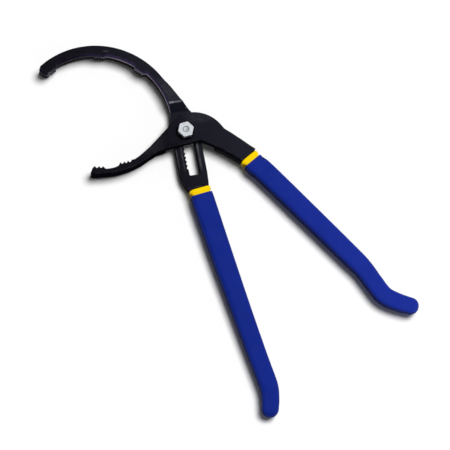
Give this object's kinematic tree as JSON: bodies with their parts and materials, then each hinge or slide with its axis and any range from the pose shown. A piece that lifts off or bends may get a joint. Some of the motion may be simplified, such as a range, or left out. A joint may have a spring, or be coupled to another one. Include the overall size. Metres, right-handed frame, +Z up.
{
  "type": "oil filter wrench",
  "caption": "Slip-joint oil filter pliers: a round toothed hook jaw and a short curved jaw lapped on a sliding pivot bolt, with long dipped handles that squeeze the jaws round a spin-on filter.",
  "frame": {"origin": "on the pivot axis at the outer face of the bolt's head, the lowest face of the tool as it lies on a bench", "axes": "+Z up through the pivot bolt to the nut's side, +Y along the slotted shank towards the hook, -X towards the mouth of the jaws"},
  "size_m": [0.2308, 0.2793, 0.0194],
  "materials": {
    "black_steel": "satin black over forged steel, worn at the edges",
    "zinc_steel": "bright zinc plate",
    "blue_vinyl": "satin dipped vinyl, royal blue",
    "yellow_vinyl": "satin dipped vinyl, bright yellow"
  },
  "bodies": {
    "hook_side": {"hook_arm": "black_steel", "hook_collar": "yellow_vinyl", "hook_grip": "blue_vinyl"},
    "pivot_set": {"pivot_bolt": "zinc_steel", "hex_nut": "zinc_steel"},
    "lever_side": {"lever_arm": "black_steel", "lever_collar": "yellow_vinyl", "lever_grip": "blue_vinyl"}
  },
  "joints": [
    {"name": "slot_slide", "type": "slide", "parent": "hook_side", "child": "pivot_set", "axis": [0, -1, 0], "range_m": [0, 0.021]},
    {"name": "pivot", "type": "hinge", "parent": "pivot_set", "child": "lever_side", "pos_m": [0, 0, 0.0083], "axis": [0, 0, 1], "range_deg": [-22, 20]}
  ]
}
